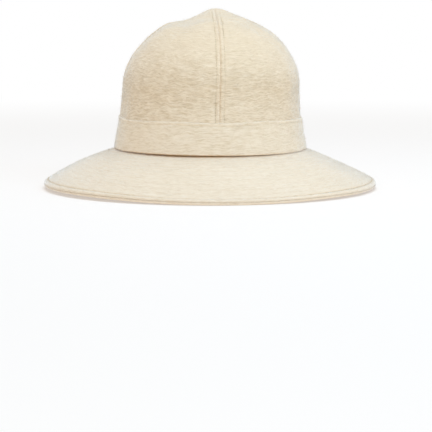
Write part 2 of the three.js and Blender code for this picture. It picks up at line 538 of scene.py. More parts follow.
@dataclass(frozen=True)
class LooseHairs:
    """Wool hairs that stand out of the felt, each a thin closed spike with three sides."""

    per_area: float
    seed: int
    shortest: float = 0.8 * MM
    longest: float = 3.0 * MM
    radius: float = 0.05 * MM
    root: float = 0.15 * MM
    least_rise: float = 12.0
    most_rise: float = 65.0
    sway: float = 0.7
    spike: tuple[tuple[int, int, int], ...] = ((0, 1, 3), (1, 2, 3), (2, 0, 3), (0, 2, 1))
    map_triangle: tuple[tuple[float, float], ...] = ((0.1, 0.1), (0.9, 0.1), (0.1, 0.9))

    def grow(self, name: str, grid: Array, uv: Array) -> Piece:
        """Grows hairs at random places on a surface, more of them where it is larger.

        Args:
            name: name of the hairs' object.
            grid: points of the surface, shape (rows, columns, 3), whose columns run along the nap.
            uv: place of each point on the felt, shape (rows, columns, 2).

        Returns:
            The hairs' object.
        """
        rng = np.random.default_rng(self.seed)
        a, b, c, d = grid[:-1, :-1], grid[:-1, 1:], grid[1:, 1:], grid[1:, :-1]
        facing = np.cross(c - a, d - b)
        area = np.linalg.norm(facing, axis=-1) / 2
        count = round(area.sum() * self.per_area)
        cells = rng.choice(area.size, count, p=area.ravel() / area.sum())
        cell = np.unravel_index(cells, area.shape)
        s, t = rng.random((2, count, 1))
        base = (1 - t) * ((1 - s) * a[cell] + s * b[cell]) + t * ((1 - s) * d[cell] + s * c[cell])
        out = unit(facing[cell])
        nap = unit((b - a + c - d)[cell])
        turn = rng.normal(0, self.sway, (count, 1)) + math.pi * rng.integers(0, 2, (count, 1))
        rise = np.radians(rng.uniform(self.least_rise, self.most_rise, (count, 1)))
        lying = np.cos(turn) * nap + np.sin(turn) * np.cross(out, nap)
        direction = np.cos(rise) * lying + np.sin(rise) * out
        tip = base + direction * rng.uniform(self.shortest, self.longest, (count, 1))
        side = unit(np.cross(direction, out))
        other = np.cross(direction, side)
        foot = base - out * self.root
        ring = [foot + self.radius * (math.cos(w) * side + math.sin(w) * other)
                for w in (0.0, FULL_TURN / 3, 2 * FULL_TURN / 3)]
        points = np.stack([*ring, tip], axis=1)
        corners = points.shape[1]
        faces = (corners * np.arange(count)[:, None, None] + np.array(self.spike)).reshape(-1, 3)
        hair_uv = np.repeat(uv[cell], corners, axis=0)
        parts = MeshParts().add_faces(points.reshape(-1, 3), faces, hair_uv, self._flat(len(faces)),
                                      np.zeros(corners * count))
        return parts.to_object(name)

    def _flat(self, count: int) -> Array:
        """Gives each face of each hair a small triangle of its own on a flat square.

        Args:
            count: number of faces.

        Returns:
            Places of the faces' corners, shape (count * 3, 2).
        """
        across = math.ceil(math.sqrt(count))
        number = np.arange(count)
        cell = np.stack([number % across, number // across], axis=-1)[:, None, :]
        return ((cell + np.array(self.map_triangle)) / across).reshape(-1, 2)


class NodeSheet:
    """The node tree of a material or a world, with short ways to add nodes and join them."""

    def __init__(self, owner: Material | bpy.types.World) -> None:
        """Starts with the nodes that Blender gives a new material or world.

        Args:
            owner: the material or world.
        """
        owner.use_nodes = True
        self.owner = owner
        self.nodes = owner.node_tree.nodes
        self.links = owner.node_tree.links

    def add(self, kind: str, **inputs: object) -> bpy.types.Node:
        """Adds a node and fills its inputs.

        Args:
            kind: Blender's name of the node.
            **inputs: socket name to a constant or to another node's output. A name without a socket of its
                own is a setting of the node.

        Returns:
            The new node.
        """
        node = self.nodes.new(kind)
        for name, value in inputs.items():
            if name in node.inputs:
                self.fill(node.inputs[name], value)
            else:
                setattr(node, name, value)
        return node

    def fill(self, socket: Socket, value: object) -> None:
        """Links an output to a socket, or sets the socket's own value.

        Args:
            socket: the socket to fill.
            value: another node's output, or a constant.
        """
        if isinstance(value, Socket):
            self.links.new(value, socket)
        else:
            socket.default_value = value

    def math(self, operation: str, a: object, b: object = 0.0, kind: str = "ShaderNodeMath") -> Socket:
        """Adds one sum of two values.

        Args:
            operation: Blender's name of the sum, such as MULTIPLY.
            a: first value or output.
            b: second value or output.
            kind: Blender's name of the node.

        Returns:
            The result's output.
        """
        node = self.add(kind, operation=operation)
        self.fill(node.inputs[0], a)
        self.fill(node.inputs[1], b)
        return node.outputs[0]

    def vector_math(self, operation: str, a: object, b: object) -> Socket:
        """Adds one sum of two vectors."""
        return self.math(operation, a, b, "ShaderNodeVectorMath")

    def weighted(self, outputs: list[Socket], weights: tuple[float, ...]) -> Socket:
        """Adds several outputs up, each times its own weight.

        Args:
            outputs: what is added up.
            weights: the weight of each.

        Returns:
            The sum's output.
        """
        total: object = 0.0
        for output, weight in zip(outputs, weights):
            total = self.math("ADD", total, self.math("MULTIPLY", output, weight))
        return total

    def object_place(self) -> Socket:
        """Adds the place on the piece."""
        return self.add("ShaderNodeTexCoord").outputs["Object"]

    def nap_place(self) -> Socket:
        """Adds the place on the felt or ribbon as it was laid out flat."""
        return self.add("ShaderNodeUVMap", uv_map=UV_NAME).outputs["UV"]

    def split(self, vector: Socket) -> bpy.types.NodeOutputs:
        """Adds the three parts of a vector, X, Y and Z."""
        return self.add("ShaderNodeSeparateXYZ", Vector=vector).outputs

    def noise(self, place: Socket, size: float, detail: float = 1.0, output: str = "Fac") -> Socket:
        """Adds soft noise of some size, as one value or, with the output Color, as three."""
        return self.add("ShaderNodeTexNoise", Vector=place, Scale=1 / size, Detail=detail).outputs[output]

    def follow(self, value: Socket, change: Change, **settings: object) -> Socket:
        """Adds a value that follows another one through a change."""
        ends = {"From Min": change.start, "From Max": change.end,
                "To Min": change.first, "To Max": change.last}
        return self.add("ShaderNodeMapRange", Value=value, **ends, **settings).outputs["Result"]

    def drift(self, place: Socket, size: float, reach: float) -> Socket:
        """Adds a place whose third part wanders up and down with noise of some size, within a reach."""
        centred = self.vector_math("SUBTRACT", self.noise(place, size, output="Color"), (0.5, 0.5, 0.5))
        return self.vector_math("ADD", place, self.vector_math("MULTIPLY", centred, (0.0, 0.0, reach)))

    def streaks(self, place: Socket, length: float, height: float) -> Socket:
        """Adds noise drawn out in streaks across the third part of a place."""
        scaled = self.vector_math("MULTIPLY", place, (1 / length, 1 / length, 1 / height))
        return self.noise(scaled, size=1.0)

    def bump(self, height: Socket, distance: float, strength: float = 1.0) -> Socket:
        """Adds relief of some height."""
        node = self.add("ShaderNodeBump", Strength=strength, Distance=distance, Height=height)
        return node.outputs["Normal"]

    def ramp(self, factor: Socket, stops: dict[float, Colour]) -> Socket:
        """Adds a blend of colours.

        Args:
            factor: what picks the colour.
            stops: place on the ramp to colour, from low to high.

        Returns:
            The colour's output.
        """
        node = self.add("ShaderNodeValToRGB", Fac=factor)
        elements = node.color_ramp.elements
        while len(elements) < len(stops):
            elements.new(0.5)
        for element, (place, colour) in zip(elements, stops.items()):
            element.position = place
            element.color = colour
        return node.outputs["Color"]

    def set_shader(self, **inputs: object) -> None:
        """Fills the Principled shader's sockets, with underscores for the spaces in their names."""
        for name, value in inputs.items():
            self.fill(self.nodes["Principled BSDF"].inputs[name.replace("_", " ")], value)


@dataclass(frozen=True)
class FeltFinish:
    """Brushed wool felt: short hairs lie along the rows, in wavy streaks that wear off towards the top."""

    name: str
    light: Colour
    middle: Colour
    dark: Colour
    relief: float
    streak_length: float = 8.5 * MM
    streak_height: float = 1.08 * MM
    wander: float = 6.0 * MM
    wander_size: float = 11 * MM
    hair_length: float = 4.6 * MM
    hair_height: float = 0.7 * MM
    cross: float = 4.5 * MM
    cross_size: float = 5 * MM
    fibre_length: float = 1.5 * MM
    fibre_height: float = 0.17 * MM
    curl: float = 1.6 * MM
    curl_size: float = 2.5 * MM
    cloud_size: float = 55 * MM
    tone_weights: tuple[float, ...] = (0.40, 0.36, 0.14, 0.10)
    height_weights: tuple[float, ...] = (0.5, 0.35, 0.15)
    tone_stops: tuple[float, float, float] = (0.37, 0.5, 0.63)
    worn: Change = Change(98 * MM, 132 * MM, 0.0, 0.58)
    worn_tone: float = 0.51
    # Painted light: the tone is raised on the crown's lowest part, just above the band, where shade falls.
    painted_light_near_band: Change = Change(90 * MM, 70 * MM, 0.0, 0.0)
    # Painted shade: stronger streak contrast, and relief, towards the crown's left, where light grazes it.
    full: Change = Change(-80 * MM, 80 * MM, 1.0, 1.0)
    # Painted shade: the warm brown that folds, seam ditches and stitched grooves are darkened towards.
    fold_shade_tint: Colour = (0.65, 0.40, 0.11, 1.0)
    roughness: float = 0.94
    specular: float = 0.15
    sheen: float = 1.0
    sheen_roughness: float = 0.32
    sheen_tint: Colour = (0.90, 0.96, 1.0, 1.0)

    def material(self) -> Material:
        """Builds the felt's nodes.

        Returns:
            The material.
        """
        sheet = NodeSheet(bpy.data.materials.new(self.name))
        place = sheet.object_place()
        part = sheet.split(place)
        climb = sheet.split(sheet.nap_place())["Y"]
        rows = sheet.add("ShaderNodeCombineXYZ", X=part["X"], Y=part["Y"], Z=climb).outputs["Vector"]
        wavy = sheet.drift(rows, self.wander_size, self.wander)
        crossed = sheet.drift(rows, self.cross_size, self.cross)
        curled = sheet.drift(wavy, self.curl_size, self.curl)
        hairs = [sheet.streaks(wavy, self.streak_length, self.streak_height),
                 sheet.streaks(crossed, self.hair_length, self.hair_height),
                 sheet.streaks(curled, self.fibre_length, self.fibre_height)]
        clouds = sheet.noise(place, self.cloud_size, detail=2.0)
        kept, shift = self._wear_and_painted_light(sheet, part)
        tone = sheet.weighted([*hairs, clouds], self.tone_weights)
        tone = sheet.math("ADD", sheet.math("MULTIPLY", tone, kept), shift)
        colour = sheet.ramp(tone, dict(zip(self.tone_stops, (self.dark, self.middle, self.light))))
        # Painted shade: a mesh attribute darkens the felt to warm brown in the fold under the band, the
        # seams' ditches and the brim's stitched grooves.
        fold_shade = sheet.add("ShaderNodeAttribute", attribute_name=FOLD_SHADE_NAME).outputs["Fac"]
        colour = sheet.vector_math("MULTIPLY", colour, sheet.ramp(fold_shade, {0.0: WHITE, 1.0: self.fold_shade_tint}))
        height = sheet.math("MULTIPLY", kept, sheet.weighted(hairs, self.height_weights))
        sheet.set_shader(Base_Color=colour, Roughness=self.roughness, Specular_IOR_Level=self.specular,
                         Normal=sheet.bump(height, self.relief), Sheen_Weight=self.sheen,
                         Sheen_Roughness=self.sheen_roughness, Sheen_Tint=self.sheen_tint)
        return sheet.owner

    def _wear_and_painted_light(self, sheet: NodeSheet, part: bpy.types.NodeOutputs) -> tuple[Socket, Socket]:
        """Fades the streaks towards the top, paints light above the band and deeper streak shade on the left.

        Args:
            sheet: the material's nodes.
            part: the three parts of the place on the piece.

        Returns:
            How much of the streaks is left, and what is added to their tone.
        """
        unworn = sheet.math("SUBTRACT", 1.0, sheet.follow(part["Z"], self.worn))
        kept = sheet.math("MULTIPLY", unworn, sheet.follow(part["X"], self.full))
        bare = sheet.math("MULTIPLY", sheet.math("SUBTRACT", 1.0, kept), self.worn_tone)
        return kept, sheet.math("ADD", bare, sheet.follow(part["Z"], self.painted_light_near_band))


@dataclass(frozen=True)
class FibreFinish:
    """Fibres in two tones, such as the felt's loose hairs or twisted sewing thread."""

    name: str
    dark: Colour
    light: Colour
    fleck: float
    stops: tuple[float, float]
    roughness: float
    specular: float
    relief: float = 0.0
    relief_strength: float = 0.4

    def material(self) -> Material:
        """Builds the fibres' nodes.

        Returns:
            The material.
        """
        sheet = NodeSheet(bpy.data.materials.new(self.name))
        flecks = sheet.noise(sheet.object_place(), self.fleck)
        colour = sheet.ramp(flecks, dict(zip(self.stops, (self.dark, self.light))))
        sheet.set_shader(Base_Color=colour, Roughness=self.roughness, Specular_IOR_Level=self.specular)
        if self.relief:
            sheet.set_shader(Normal=sheet.bump(flecks, self.relief, self.relief_strength))
        return sheet.owner


@dataclass(frozen=True)
class RibbonFinish:
    """Black ribbed ribbon: fine cords run up the ribbon."""

    cord: Colour = linear(44, 42, 43)
    furrow: Colour = linear(14, 13, 14)
    rib: float = 1.1 * MM
    weave: float = 0.6 * MM
    weights: tuple[float, float] = (0.7, 0.3)
    stops: tuple[float, float] = (0.15, 0.8)
    roughness: float = 0.62
    specular: float = 0.35
    sheen: float = 0.1
    relief: float = 0.3 * MM
    relief_strength: float = 0.7

    def material(self) -> Material:
        """Builds the ribbon's nodes.

        Returns:
            The material.
        """
        sheet = NodeSheet(bpy.data.materials.new("black_ribbon"))
        nap = sheet.nap_place()
        wave = sheet.math("SINE", sheet.math("MULTIPLY", sheet.split(nap)["X"], FULL_TURN / self.rib))
        ribs = sheet.math("ADD", sheet.math("MULTIPLY", wave, 0.5), 0.5)
        tone = sheet.weighted([ribs, sheet.noise(nap, self.weave, detail=2.0)], self.weights)
        colour = sheet.ramp(tone, dict(zip(self.stops, (self.furrow, self.cord))))
        sheet.set_shader(Base_Color=colour, Roughness=self.roughness, Specular_IOR_Level=self.specular,
                         Sheen_Weight=self.sheen,
                         Normal=sheet.bump(tone, self.relief, self.relief_strength))
        return sheet.owner


@dataclass(frozen=True)
class Finishes:
    """The hat's materials, each made once."""

    brushed_felt: Material
    pressed_felt: Material
    smooth_felt: Material
    hair: Material
    thread: Material
    ribbon: Material

    @classmethod
    def make(cls) -> "Finishes":
        """Makes all the materials.

        Returns:
            The materials.
        """
        brushed = FeltFinish("brushed_felt", linear(246, 228, 202), linear(233, 212, 182),
                             linear(218, 195, 162), relief=0.8 * MM,
                             # Painted light above the band; painted shade that deepens the streaks on the
                             # crown's left side.
                             painted_light_near_band=Change(90 * MM, 70 * MM, 0.0, 0.06),
                             full=Change(-80 * MM, 80 * MM, 1.28, 1.04))
        pressed = FeltFinish("pressed_felt", linear(249, 233, 210), linear(243, 225, 199),
                             linear(229, 208, 177), relief=0.8 * MM, cross=2.5 * MM,
                             wander=4.5 * MM, streak_length=11 * MM)
        smooth = FeltFinish("smooth_felt", linear(243, 227, 205), linear(239, 221, 196),
                            linear(231, 211, 184), relief=0.5 * MM)
        hair = FibreFinish("loose_wool", linear(234, 216, 187), linear(250, 240, 222), fleck=2 * MM,
                           stops=(0.35, 0.6), roughness=0.8, specular=0.2)
        thread = FibreFinish("cream_thread", linear(190, 171, 138), linear(222, 206, 176), fleck=0.4 * MM,
                             stops=(0.3, 0.65), roughness=0.7, specular=0.3, relief=0.1 * MM)
        finishes = (brushed, pressed, smooth, hair, thread, RibbonFinish())
        return cls(*(finish.material() for finish in finishes))


def dress(finished: dict[Piece, Material], node: str) -> list[Piece]:
    """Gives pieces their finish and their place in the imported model.

    Args:
        finished: each new piece with its finish.
        node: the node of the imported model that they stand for.

    Returns:
        The pieces.
    """
    for piece, material in finished.items():
        piece.data.materials.append(material)
        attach(piece, BODY)
        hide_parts(node)
    return list(finished)


@dataclass
class StitchRows:
    """Rows of machine stitches, which lie on the felt and dip into it at both ends."""

    pitch: float = 3.0 * MM
    length: float = 2.3 * MM
    radius: float = 0.23 * MM
    sides: int = 5
    places: tuple[float, ...] = (-0.5, -0.2, 0.2, 0.5)
    heights: tuple[float, ...] = (-1.3, 0.45, 0.45, -1.3)
    parts: MeshParts = field(default_factory=lambda: MeshParts(tiled=True))

    def add_row(self, path: Array, normals: Array) -> None:
        """Adds one row of stitches along a line.

        Args:
            path: points of the line, close together, shape (n, 3).
            normals: directions out of the felt at those points, shape (n, 3).
        """
        along = arc_lengths(path)
        count = max(1, round(along[-1] / self.pitch))
        middles = (np.arange(count) + 0.5) * along[-1] / count
        wanted = middles[:, None] + np.array(self.places) * self.length
        heights = np.array(self.heights)[:, None] * self.radius
        out = unit(points_at(wanted, along, normals))
        centres = points_at(wanted, along, path) + out * heights
        forward = unit(np.gradient(centres, axis=1))
        side = unit(np.cross(forward, out))
        turn = np.arange(self.sides)[:, None] * FULL_TURN / self.sides
        spokes = np.cos(turn) * out[:, :, None, :] + np.sin(turn) * side[:, :, None, :]
        for stitch in centres[:, :, None, :] + self.radius * spokes:
            self.parts.add_grid(stitch, np.zeros((*stitch.shape[:2], 2)), closed=True)


class Spot(Enum):
    """A choice among like pieces, whose names end in where they are."""

    def named(self, kind: str) -> str:
        """Name of a node or piece of some kind at this spot."""
        return f"{kind}_{self.name.lower()}"


class Quarter(Spot):
    """The four crown panels, each with the quarter turn where it starts."""

    FRONT_RIGHT = 0
    BACK_RIGHT = 1
    BACK_LEFT = 2
    FRONT_LEFT = 3


class Layer(Spot):
    """The two layers of the brim, each with the way its finished face looks: 1 for up, -1 for down."""

    UPPER = 1
    UNDER = -1


@dataclass
class CrownPanel:
    """A quarter of the crown, rolled into the seams at both edges and topstitched beside them."""

    form: HatForm
    finishes: Finishes
    quarter: Quarter
    rows: int = 220
    columns: int = 130
    inner_columns: int = 22
    hidden_rows: int = 33
    climb_steps: int = 1201
    angle_steps: int = 241
    edge_steps: int = 16
    edge_zone: float = 6.4 * MM
    edge_share: float = 0.33
    edge_curve: float = 1.3
    ditch_depth: float = 0.8 * MM
    ditch_width: float = 0.55 * MM
    ditch_curve: float = 1.4
    ditch_fade: float = 16 * MM
    puff_height: float = 0.24 * MM
    puff_offset: float = 1.9 * MM
    puff_width: float = 1.14 * MM
    seam_shade: float = 0.05
    row_offset: float = 3.8 * MM
    row_depth: float = 0.33 * MM
    row_width: float = 0.75 * MM
    stitch_room: float = 15.4 * MM
    uneven: Unevenness = Unevenness(0.22 * MM, 26 * MM, seed=5)
    tufts: NapTufts = NapTufts()
    pressed_share: float = 0.8
    tuft_shift: float = 0.3
    nap_shift: float = 0.4
    hairs_per_area: float = 0.3 / MM**2
    hair_seed: int = 30

    def relief(self, seam_distance: Array) -> Array:
        """How far the felt stands out beside the seams: a ditch, a puff and the row of stitches.

        Args:
            seam_distance: distances from the nearest seam.

        Returns:
            Distances out of the plain crown.
        """
        ditch = -self.ditch_depth * np.exp(-((seam_distance / self.ditch_width) ** self.ditch_curve))
        puff = self.puff_height * bump_at(seam_distance, self.puff_offset, self.puff_width)
        row = -self.row_depth * bump_at(seam_distance, self.row_offset, self.row_width)
        return ditch + puff + row

    def climbs(self) -> Array:
        """Climbs from the foot to the top, at even steps along the felt.

        Returns:
            The climb of each row.
        """
        dense = np.linspace(0, 2, self.climb_steps)
        line = arc_lengths(self.form.crown(np.full_like(dense, QUARTER_TURN / 2), dense))
        return np.interp(np.linspace(0, line[-1], self.rows), line, dense)

    def angles(self, climb: Array) -> tuple[Array, Array]:
        """Angles of the panel's columns, closer together near the seams.

        Args:
            climb: climb of each row.

        Returns:
            Angles and distances from the first seam, both of shape (rows, columns).
        """
        dense = self.quarter.value * QUARTER_TURN + np.linspace(0, QUARTER_TURN, self.angle_steps)
        arcs = arc_lengths(self.form.crown(*np.broadcast_arrays(dense[None, :], climb[:, None])))
        edge = np.linspace(0, 1, self.edge_steps + 1) ** self.edge_curve * self.edge_zone
        least_length = 1e-6
        angles, distances = [], []
        for arc in arcs:
            length = max(arc[-1], least_length)
            near = edge * min(1.0, self.edge_share * length / self.edge_zone)
            middle = np.linspace(near[-1], length - near[-1], self.columns)[1:-1]
            wanted = np.concatenate([near, middle, length - near[::-1]])
            angles.append(np.interp(wanted, arc, dense))
            distances.append(wanted)
        return np.array(angles), np.array(distances)

    def build(self) -> list[Piece]:
        """Makes and dresses the panel as a closed wall of felt, its loose hairs and its stitches.

        Returns:
            The pieces.
        """
        climb_of_row = self.climbs()
        angle, distance = self.angles(climb_of_row)
        climb = np.broadcast_to(climb_of_row[:, None], angle.shape)
        base = self.form.crown(angle, climb)
        normal = self.form.crown_normal(angle, climb)
        seam_distance = np.minimum(distance, distance[:, -1:] - distance)
        climbed = np.broadcast_to(arc_lengths(base[:, base.shape[1] // 2])[:, None], distance.shape)
        fade = np.clip((climbed[-1] - climbed) / self.ditch_fade, 0, 1)
        pressed = 1 - self.pressed_share * plateau(seam_distance, self.row_offset)
        tufts = self.tufts.at(distance + self.tuft_shift * self.quarter.value, climbed) * pressed
        relief = self.relief(seam_distance) * fade + self.uneven.at(base) + tufts
        outer = base + normal * relief[..., None]
        inner = base - normal * self.form.felt
        # Painted shade darkens the felt in the ditch of each seam, fading towards the top.
        fold_shade = self.seam_shade * bump_at(seam_distance, 0.0, self.ditch_width) * fade
        uv = np.stack([distance, climbed + self.nap_shift * self.quarter.value], axis=-1)
        back = np.linspace(distance.shape[1] - 1, 0, self.inner_columns).round().astype(int)
        loop = [np.concatenate([face, rear[:, back]], axis=1)
                for face, rear in ((outer, inner), (uv, uv), (fold_shade, 0 * fold_shade))]
        parts = MeshParts().add_grid(*loop[:2], closed=True, fold_shade=loop[2])
        parts.add_grid(np.stack([inner[0], outer[0]]), np.stack([uv[0], uv[0]]))
        felt = parts.to_object(self.quarter.named("felt_panel"))
        shown = slice(self.hidden_rows, None)
        hairs = LooseHairs(self.hairs_per_area, self.hair_seed + self.quarter.value)
        hairs = hairs.grow(self.quarter.named("loose_hairs"), outer[shown], uv[shown])
        stitches = self.stitches(climb_of_row, angle, distance)
        finished = {felt: self.finishes.brushed_felt, hairs: self.finishes.hair,
                    stitches: self.finishes.thread}
        return dress(finished, self.quarter.named("crown_panel"))

    def stitches(self, climb: Array, angle: Array, distance: Array) -> Piece:
        """Makes the row of topstitching beside each of the panel's two seams.

        Args:
            climb: climb of each row.
            angle: angles of the panel's columns, by row.
            distance: distances of the columns from the first seam, by row.

        Returns:
            Both rows as one object.
        """
        rows = StitchRows()
        length = distance[:, -1]
        wide = length > self.stitch_room
        for offset in (np.full_like(length, self.row_offset), length - self.row_offset):
            turn = np.array([np.interp(o, d, a) for o, d, a in zip(offset, distance, angle)])[wide]
            normal = self.form.crown_normal(turn, climb[wide])
            rows.add_row(self.form.crown(turn, climb[wide]) - normal * self.row_depth, normal)
        return rows.parts.to_object(self.quarter.named("seam_stitches"))


@dataclass
class Band:
    """A strip of the same felt round the foot of the crown, pressed thin at its upper edge."""

    form: HatForm
    finishes: Finishes
    node: str = "band"
    foot: float = -0.4 * MM
    side_drop: float = 0.75 * MM
    drop_reach: float = 6 * MM
    height: float = 29 * MM
    air: float = 0.4 * MM
    edge_stand: float = 0.9 * MM
    edge_height: float = 1.4 * MM
    edge_reach: float = 26 * MM
    edge_ridge: float = 0.45 * MM
    sewn_below: float = 2.9 * MM
    sewn_depth: float = 0.4 * MM
    sewn_width: float = 0.6 * MM
    tuck: float = 0.3 * MM
    columns: int = 680
    roll_rows: int = 6
    face_rows: int = 30
    edge_rows: int = 14
    cap_rows: int = 8
    back_rows: int = 5
    join_columns: int = 9
    join_span: tuple[float, float] = (0.3, 4.0)
    join_depth: float = 0.8 * MM
    join_width: float = 0.7 * MM
    fold_shade_height: float = 0.55 * MM
    nap_shift: float = 0.9
    uneven: Unevenness = Unevenness(0.16 * MM, 30 * MM, seed=11)
    edge_sway: Unevenness = Unevenness(0.5 * MM, 75 * MM, seed=15)
    tufts: NapTufts = NapTufts(height=0.09 * MM, seed=4)
    hairs: LooseHairs = LooseHairs(0.25 / MM**2, seed=41)

    def rolled(self, turn: Array) -> tuple[Array, Array]:
        """Levels and distances out on the rounded lower edge, by the turn round its middle."""
        half = 0.5 * self.form.felt
        return self.foot + half * (1 + np.sin(turn)), self.air + half * (1 + np.cos(turn))

    def section(self) -> tuple[Array, Array]:
        """Closed outline of the strip, from its lower edge up the outer face and back down the inner one.

        Returns:
            Levels above the crown's foot, and distances out from the crown.
        """
        felt = self.form.felt
        low_level, low_out = self.rolled(np.linspace(-QUARTER_TURN, 0, self.roll_rows))
        top = self.foot + self.height
        bend = top - self.edge_height
        close_from = top - 2 * self.sewn_below
        face = np.concatenate([np.linspace(low_level[-1], close_from, self.face_rows)[1:],
                               np.linspace(close_from, bend, self.edge_rows)[1:]])
        press = np.clip((face - (top - self.edge_reach)) / self.edge_reach, 0, 1)
        face_out = self.air + felt - (self.air + felt - self.edge_stand) * press
        face_out = face_out + self.edge_ridge * bump_at(face, bend, self.edge_height)
        face_out = face_out - self.sewn_depth * bump_at(face, top - self.sewn_below, self.sewn_width)
        cap = np.linspace(0, QUARTER_TURN, self.cap_rows)[1:]
        cap_level = face[-1] + self.edge_height * np.sin(cap)
        cap_out = (face_out[-1] + self.tuck) * np.cos(cap) - self.tuck
        back_level = np.linspace(top, self.foot + 0.5 * felt, self.back_rows)[1:]
        back_out = np.linspace(-self.tuck, self.air, self.back_rows)[1:]
        close_level, close_out = self.rolled(np.linspace(math.pi, 3 * QUARTER_TURN, self.back_rows)[1:-1])
        return (np.concatenate([low_level, face, cap_level, back_level, close_level]),
                np.concatenate([low_out, face_out, cap_out, back_out, close_out]))

    @property
    def half_length(self) -> float:
        """Half the band's size from front to back."""
        return self.form.base_half_width * self.form.length_ratio

    def turns(self) -> Array:
        """Angles of the band's columns, once round from the back, closer together at the join there."""
        near = np.linspace(*self.join_span, self.join_columns) * self.join_width / self.half_length
        return math.pi + np.sort(np.concatenate([even_turns(self.columns), near, FULL_TURN - near]))

    def build(self) -> list[Piece]:
        """Makes and dresses the band and its loose hairs.

        Returns:
            The pieces.
        """
        levels, outs = self.section()
        angle, level = np.meshgrid(self.turns(), levels, indexing="ij")
        out = np.broadcast_to(outs, angle.shape)
        sway = self.edge_sway.at(self.form.wall(angle, 0 * level, 0 * level))
        level = level + sway * np.clip((level - self.foot) / self.height, 0, 1) ** 2
        closed = 1 - self.form.band_gap(angle)
        sunk = level - self.side_drop * closed * np.exp(-(level - self.foot) / self.drop_reach)
        points = self.form.wall(angle, sunk, out)
        outward = unit(self.form.wall(angle, sunk, out + MM) - points)
        along = angle * self.form.base_half_width
        from_back = np.minimum(angle - math.pi, 3 * math.pi - angle) * self.half_length
        relief = self.uneven.at(points) + self.tufts.at(along, level)
        relief = relief - self.join_depth * bump_at(from_back, 0.0, self.join_width)
        points = points + outward * (relief * (out > self.air))[..., None]
        uv = np.stack([along, arc_lengths(points) + self.nap_shift], axis=-1)
        # Painted shade darkens the band's lowest edge where it sits in the fold over the brim.
        fold_shade = bump_at(level, self.foot, self.fold_shade_height) * self.form.band_fold_shade(angle)
        felt = MeshParts().add_grid(points, uv, closed=True, ring=True, fold_shade=fold_shade).to_object("felt_band")
        face = slice(self.roll_rows, self.roll_rows + self.face_rows + self.edge_rows - 2)
        nap = [np.swapaxes(grid[:, face], 0, 1) for grid in (points, uv)]
        hairs = self.hairs.grow("loose_hairs_band", *nap)
        return dress({felt: self.finishes.pressed_felt, hairs: self.finishes.hair}, self.node)


